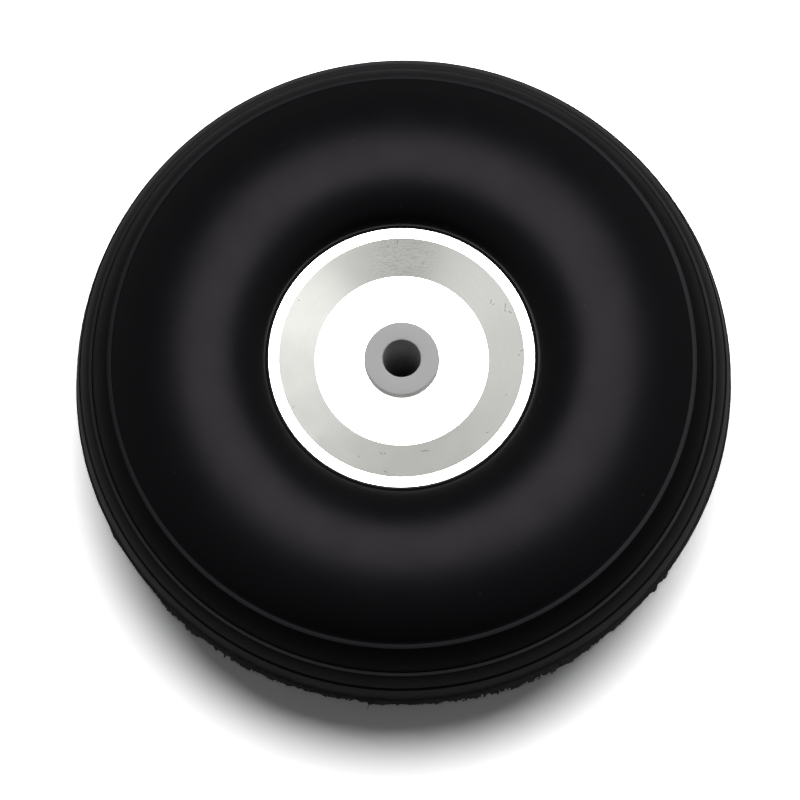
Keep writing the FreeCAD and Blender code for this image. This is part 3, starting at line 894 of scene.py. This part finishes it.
def screw_grids(screw):
    """Grids of a socket head screw, head upwards with its seat at height 0: the turned outside,
    the head's face in to the hexagon, the socket's walls and its shallow cone.
    The hexagon's radius at an angle is half its width across flats over the cosine of the
    angle from the nearest flat's middle."""
    head = screw.head_radius / MM
    top = screw.head_height / MM
    shank = screw.shank_radius / MM
    tip = -screw.shank_length / MM
    chamfer = screw.chamfer / MM
    floor = top - screw.socket_depth / MM
    lead = 0.1
    cone = 0.25
    eased = chamfer * 0.3
    corners = [
        (0, tip), (shank - chamfer, tip), (shank, tip + chamfer), (shank, 0),
        (head, 0), (head, top - chamfer), (head - eased, top - eased), (head - chamfer, top),
    ]
    outside = revolve(np.array(corners, float), SCREW_SEGMENTS)
    angle = np.arange(SCREW_SEGMENTS + 1) * 2 * np.pi / SCREW_SEGMENTS
    flat = screw.socket_width / MM / 2
    reach = flat / np.cos((angle + np.pi / 6) % (np.pi / 3) - np.pi / 6)
    spoke = np.stack([np.cos(angle), np.sin(angle)], axis=1)
    hexagon = spoke * reach[:, None]
    mouth = spoke * max(reach) * 1.04
    brim = spoke * (head - chamfer)
    return [
        outside,
        between(level(brim, top), level(mouth, top)),
        between(level(mouth, top), level(hexagon, top - lead)),
        between(level(hexagon, top - lead), level(hexagon, floor)),
        between(level(hexagon, floor), level(hexagon * 0, floor - cone)),
    ]


class WHEEL_OT_stage(bpy.types.Operator):
    """Set the floor, the lamps and the camera"""
    bl_idname = "wheel.stage"
    bl_label = "Stage"

    def execute(self, context):
        scene = context.scene
        stage = scene.wheel_stage
        scene.view_settings.view_transform = "Standard"
        add_floor(scene, stage)
        add_softboxes(scene, stage)
        add_room(scene, stage)
        add_camera(scene, stage)
        return {"FINISHED"}


def add_floor(scene, stage):
    """A white sheet under the wheel. Seen directly it is lifted to white, and to every other ray
    it is a mid grey, so that it throws little light back up at the tyre."""
    half = FLOOR_HALF
    low = CAD_BOUNDS[0][2]
    corners = [(-half, -half, low), (half, -half, low), (half, half, low), (-half, half, low)]
    mesh = bpy.data.meshes.new("White sheet")
    mesh.from_pydata(corners, [], [(0, 1, 2, 3)])
    made = bpy.data.materials.new("White paper")
    made.use_nodes = True
    tree = made.node_tree
    tree.nodes.clear()
    path = add(tree, "LightPath")
    seen = path.outputs["Is Camera Ray"]
    paper = add(tree, "BsdfDiffuse", Color=stage.paper)
    white = add(tree, "BsdfDiffuse", Color=linear("#ffffff"))
    bright = add(tree, "AddShader", i0=white.outputs[0], i1=white.outputs[0])
    mix = add(tree, "MixShader", i0=seen, i1=paper.outputs[0], i2=bright.outputs[0])
    add(tree, "OutputMaterial", Surface=mix.outputs[0])
    mesh.materials.append(made)
    floor = bpy.data.objects.new("white_sheet", mesh)
    scene.collection.objects.link(floor)


def add_softboxes(scene, stage):
    """Two softboxes above and behind the wheel: the near one only shines in its surfaces, and the
    wide, far one only lights its colours and casts its shadow towards the camera's side."""
    origin = Vector((0.0, 0.0, 0.0))
    near = Vector((0.036, 0.141, 0.537))
    far = Vector((0.238, 1.1, 2.0))
    for name, shape, size, place, target, radiance in (
        ("Shining softbox", "RECTANGLE", (0.477, 0.419), near, origin, stage.shine),
        ("Key softbox", "ELLIPSE", (2.32, 2.14), far, Vector((far.x, far.y, 0.0)), stage.key),
    ):
        lamp = bpy.data.lights.new(name, "AREA")
        lamp.shape = shape
        lamp.size, lamp.size_y = size
        area = size[0] * size[1] * (np.pi / 4 if shape == "ELLIPSE" else 1)
        lamp.energy = radiance * np.pi * area
        made = bpy.data.objects.new(name, lamp)
        made.matrix_world = aimed(place, target, Vector((0.0, 1.0, 0.0)))
        made.visible_camera = False
        made.visible_diffuse = shape == "ELLIPSE"
        made.visible_glossy = shape == "RECTANGLE"
        scene.collection.objects.link(made)


def add_room(scene, stage):
    """Pale walls all round: brighter behind and overhead, dim where the tripod stands.
    The brightness along a direction is a sum of its weighted X, Y and Z, their squares and their
    products, times the tripod's dark patch and the brighter ring round it. Diffuse rays see a
    tenth of it, because the key softbox lights the colours."""
    world = bpy.data.worlds.new("Studio")
    world.use_nodes = True
    tree = world.node_tree
    tree.nodes.clear()
    way = add(tree, "TexCoord").outputs["Generated"]
    swapped = add(tree, "SeparateXYZ", Vector=way)
    turned = add(tree, "CombineXYZ",
                 X=swapped.outputs["Z"], Y=swapped.outputs["X"], Z=swapped.outputs["Y"])
    squares = add(tree, "VectorMath", {"operation": "MULTIPLY"}, i0=way, i1=way)
    products = add(tree, "VectorMath", {"operation": "MULTIPLY"}, i0=way, i1=turned.outputs[0])
    total = stage.room
    for vector, weights in (
        (way, ROOM_PLANE),
        (squares.outputs[0], ROOM_SQUARES),
        (products.outputs[0], ROOM_PRODUCTS),
    ):
        term = add(tree, "VectorMath", {"operation": "DOT_PRODUCT"}, i0=vector, i1=weights)
        term = term.outputs["Value"]
        total = add(tree, "Math", {"operation": "ADD"}, i0=term, i1=total).outputs[0]
    front = add(tree, "VectorMath", {"operation": "DOT_PRODUCT"}, i0=way, i1=TRIPOD_SIDE)
    patch = add(tree, "MapRange", {"interpolation_type": "SMOOTHSTEP"},
                i0=front.outputs["Value"], i1=0.89, i2=0.97, i3=1.0, i4=0.76)
    ring = add(tree, "MapRange", {"interpolation_type": "SMOOTHSTEP"},
               i0=front.outputs["Value"], i1=0.5, i2=0.78, i3=1.0, i4=1.25)
    total = add(tree, "Math", {"operation": "MULTIPLY"}, i0=total, i1=ring.outputs[0])
    total = add(tree, "Math", {"operation": "MULTIPLY"}, i0=total.outputs[0], i1=patch.outputs[0])
    light = add(tree, "Math", {"operation": "MAXIMUM"}, i0=total.outputs[0], i1=0.0)
    path = add(tree, "LightPath")
    soft = add(tree, "Math", {"operation": "MULTIPLY"}, i0=light.outputs[0], i1=0.1)
    lit = add(tree, "Mix", i0=path.outputs["Is Diffuse Ray"],
              i2=light.outputs[0], i3=soft.outputs[0])
    seen = add(tree, "Mix", i0=path.outputs["Is Camera Ray"], i2=lit.outputs[0], i3=1.0)
    walls = add(tree, "Background", Color=linear("#ffffff"), Strength=seen.outputs[0])
    add(tree, "OutputWorld", Surface=walls.outputs[0])
    scene.world = world


def aimed(place, target, up):
    """The matrix of a camera or lamp at place that looks at target with up upwards."""
    back = (place - target).normalized()
    up = (up - back * up.dot(back)).normalized()
    right = up.cross(back)
    turn = Matrix((right, up, back)).transposed()
    return Matrix.Translation(place) @ turn.to_4x4()


def add_camera(scene, stage):
    """A long lens that looks down on the outboard face, tilted off the axle."""
    lens = bpy.data.cameras.new("Camera")
    lens.lens = stage.lens
    lens.sensor_width = 36.0
    lens.clip_start = 0.01
    made = bpy.data.objects.new("camera", lens)
    sine = np.sin(stage.tilt)
    back = Vector((np.sin(stage.swing) * sine, -np.cos(stage.swing) * sine, np.cos(stage.tilt)))
    up = Vector((0.0, 1.0, 0.0))
    up = (up - back * up.dot(back)).normalized()
    right = up.cross(back)
    target = Vector((0.0, 0.0, scene.wheel_bush.top))
    target = target - right * stage.offset_right - up * stage.offset_up
    made.matrix_world = aimed(target + back * stage.distance, target, up)
    scene.collection.objects.link(made)
    scene.camera = made


class WHEEL_PT_parts(bpy.types.Panel):
    """The wheel's parts, in the order they are made"""
    bl_idname = "WHEEL_PT_parts"
    bl_label = "Model aircraft wheel"
    bl_space_type = "VIEW_3D"
    bl_region_type = "UI"
    bl_category = "Wheel"

    def draw(self, context):
        for operator in OPERATORS:
            self.layout.operator(operator.bl_idname)


OPERATORS = (
    WHEEL_OT_tyre, WHEEL_OT_flash, WHEEL_OT_hub, WHEEL_OT_bushes, WHEEL_OT_screws, WHEEL_OT_stage)
SETTINGS = {
    "wheel_tyre": TyreSettings,
    "wheel_flash": FlashSettings,
    "wheel_hub": HubSettings,
    "wheel_bush": BushSettings,
    "wheel_screw": ScrewSettings,
    "wheel_stage": StageSettings,
}


def register():
    for kind in (*SETTINGS.values(), *OPERATORS, WHEEL_PT_parts):
        bpy.utils.register_class(kind)
    for name, kind in SETTINGS.items():
        setattr(bpy.types.Scene, name, bpy.props.PointerProperty(type=kind))


def unregister():
    for name in SETTINGS:
        delattr(bpy.types.Scene, name)
    for kind in (WHEEL_PT_parts, *reversed(OPERATORS), *reversed(SETTINGS.values())):
        bpy.utils.unregister_class(kind)


def main():
    register()
    for operator in OPERATORS:
        group, name = operator.bl_idname.split(".")
        getattr(getattr(bpy.ops, group), name)()


if __name__ == "__main__":
    main()
